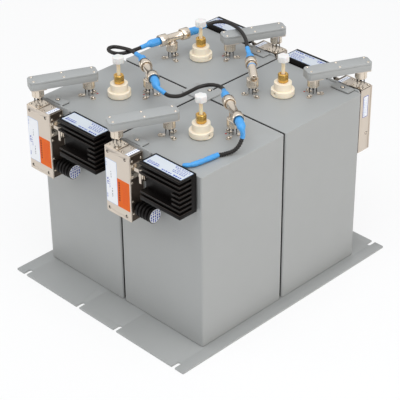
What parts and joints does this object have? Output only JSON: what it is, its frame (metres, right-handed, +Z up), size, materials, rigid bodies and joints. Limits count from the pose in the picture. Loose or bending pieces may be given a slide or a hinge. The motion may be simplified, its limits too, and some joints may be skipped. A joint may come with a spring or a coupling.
{
  "type": "rf combiner",
  "caption": "Square cavity filters on a flat rack panel, each with a tuning rod, a coaxial bar to a hanging isolator with finned loads, and a tee; jumper cables join the tees.",
  "frame": {"origin": "middle of the rack panel's underside", "axes": "+Z up out of the panel through the cavities; +Y along the panel's long side; -Y is the side where the left and front cavities' isolators hang"},
  "size_m": [0.3992, 0.4826, 0.3801],
  "materials": {
    "grey_paint": "semi-gloss grey enamel",
    "nickel": "bright nickel plate",
    "champagne_nickel": "satin champagne nickel plate",
    "black_anodise": "black anodise",
    "ivory": "moulded ivory plastic",
    "brass": "turned brass",
    "white_nylon": "natural nylon",
    "black_cable": "black jacket",
    "blue_sleeve": "blue heat-shrink sleeve"
  },
  "bodies": {
    "frame": {"rack_panel": "grey_paint", "tie_plate": "grey_paint", "cavity_can_left": "grey_paint", "tuning_flange_left": "ivory", "link_bar_left": "grey_paint", "isolator_left": "champagne_nickel", "isolator_bracket_left": "grey_paint", "main_load_left": "black_anodise", "small_load_left": "black_anodise", "tee_left": "nickel", "cavity_can_front": "grey_paint", "tuning_flange_front": "ivory", "link_bar_front": "grey_paint", "isolator_front": "champagne_nickel", "isolator_bracket_front": "grey_paint", "main_load_front": "black_anodise", "small_load_front": "black_anodise", "tee_front": "nickel", "cavity_can_right": "grey_paint", "tuning_flange_right": "ivory", "link_bar_right": "grey_paint", "isolator_right": "champagne_nickel", "isolator_bracket_right": "grey_paint", "main_load_right": "black_anodise", "small_load_right": "black_anodise", "tee_right": "nickel", "cavity_can_back": "grey_paint", "tuning_flange_back": "ivory", "link_bar_back": "grey_paint", "isolator_back": "champagne_nickel", "isolator_bracket_back": "grey_paint", "main_load_back": "black_anodise", "small_load_back": "black_anodise", "tee_back": "nickel", "jumper_loop": "black_cable", "jumper_wave": "black_cable", "jumper_arc": "black_cable", "stub_cable": "black_cable", "stub_sleeve": "blue_sleeve"},
    "tuning_left": {"tuning_rod_left": "ivory", "tuning_knob_left": "white_nylon"},
    "lock_nut_left": {"lock_nut_left": "brass"},
    "tuning_front": {"tuning_rod_front": "ivory", "tuning_knob_front": "white_nylon"},
    "lock_nut_front": {"lock_nut_front": "brass"},
    "tuning_right": {"tuning_rod_right": "ivory", "tuning_knob_right": "white_nylon"},
    "lock_nut_right": {"lock_nut_right": "brass"},
    "tuning_back": {"tuning_rod_back": "ivory", "tuning_knob_back": "white_nylon"},
    "lock_nut_back": {"lock_nut_back": "brass"},
    "nut_left_upper": {"coupling_nut_left_upper": "nickel"},
    "nut_left_lower": {"coupling_nut_left_lower": "nickel"},
    "nut_front_upper": {"coupling_nut_front_upper": "nickel"},
    "nut_front_lower": {"coupling_nut_front_lower": "nickel"},
    "nut_back_left": {"coupling_nut_back_left": "nickel"},
    "nut_back_right": {"coupling_nut_back_right": "nickel"},
    "nut_right_upper": {"coupling_nut_right_upper": "nickel"}
  },
  "joints": [
    {"name": "tune_left", "type": "slide", "parent": "frame", "child": "tuning_left", "axis": [0, 0, 1], "range_m": [-0.02, 0.025]},
    {"name": "lock_left", "type": "hinge", "parent": "frame", "child": "lock_nut_left", "pos_m": [-0.0959, -0.0869, 0.341], "axis": [0, 0, 1], "range_deg": [0, 270]},
    {"name": "tune_front", "type": "slide", "parent": "frame", "child": "tuning_front", "axis": [0, 0, 1], "range_m": [-0.02, 0.025]},
    {"name": "lock_front", "type": "hinge", "parent": "frame", "child": "lock_nut_front", "pos_m": [0.0879, -0.0869, 0.341], "axis": [0, 0, 1], "range_deg": [0, 270]},
    {"name": "tune_right", "type": "slide", "parent": "frame", "child": "tuning_right", "axis": [0, 0, 1], "range_m": [-0.02, 0.025]},
    {"name": "lock_right", "type": "hinge", "parent": "frame", "child": "lock_nut_right", "pos_m": [0.0879, 0.0969, 0.341], "axis": [0, 0, 1], "range_deg": [0, 270]},
    {"name": "tune_back", "type": "slide", "parent": "frame", "child": "tuning_back", "axis": [0, 0, 1], "range_m": [-0.02, 0.025]},
    {"name": "lock_back", "type": "hinge", "parent": "frame", "child": "lock_nut_back", "pos_m": [-0.0959, 0.0969, 0.341], "axis": [0, 0, 1], "range_deg": [0, 270]},
    {"name": "spin_left_upper", "type": "hinge", "parent": "frame", "child": "nut_left_upper", "pos_m": [-0.0808, -0.04264, 0.3555], "axis": [-0.8788, 0.4772, 0], "continuous": true},
    {"name": "spin_left_lower", "type": "hinge", "parent": "frame", "child": "nut_left_lower", "pos_m": [-0.04213, -0.06364, 0.3555], "axis": [0.8788, -0.4772, 0], "continuous": true},
    {"name": "spin_front_upper", "type": "hinge", "parent": "frame", "child": "nut_front_upper", "pos_m": [0.1007, -0.03965, 0.356], "axis": [-0.848, 0.5299, 0], "continuous": true},
    {"name": "spin_front_lower", "type": "hinge", "parent": "frame", "child": "nut_front_lower", "pos_m": [0.14522, -0.06747, 0.356], "axis": [0.848, -0.5299, 0], "continuous": true},
    {"name": "spin_back_left", "type": "hinge", "parent": "frame", "child": "nut_back_left", "pos_m": [-0.13334, 0.04523, 0.3505], "axis": [-0.1908, -0.9816, 0], "continuous": true},
    {"name": "spin_back_right", "type": "hinge", "parent": "frame", "child": "nut_back_right", "pos_m": [-0.12513, 0.08744, 0.3505], "axis": [0.1908, 0.9816, 0], "continuous": true},
    {"name": "spin_right_upper", "type": "hinge", "parent": "frame", "child": "nut_right_upper", "pos_m": [0.03086, 0.08364, 0.3525], "axis": [-0.7431, 0.6691, 0], "continuous": true}
  ]
}
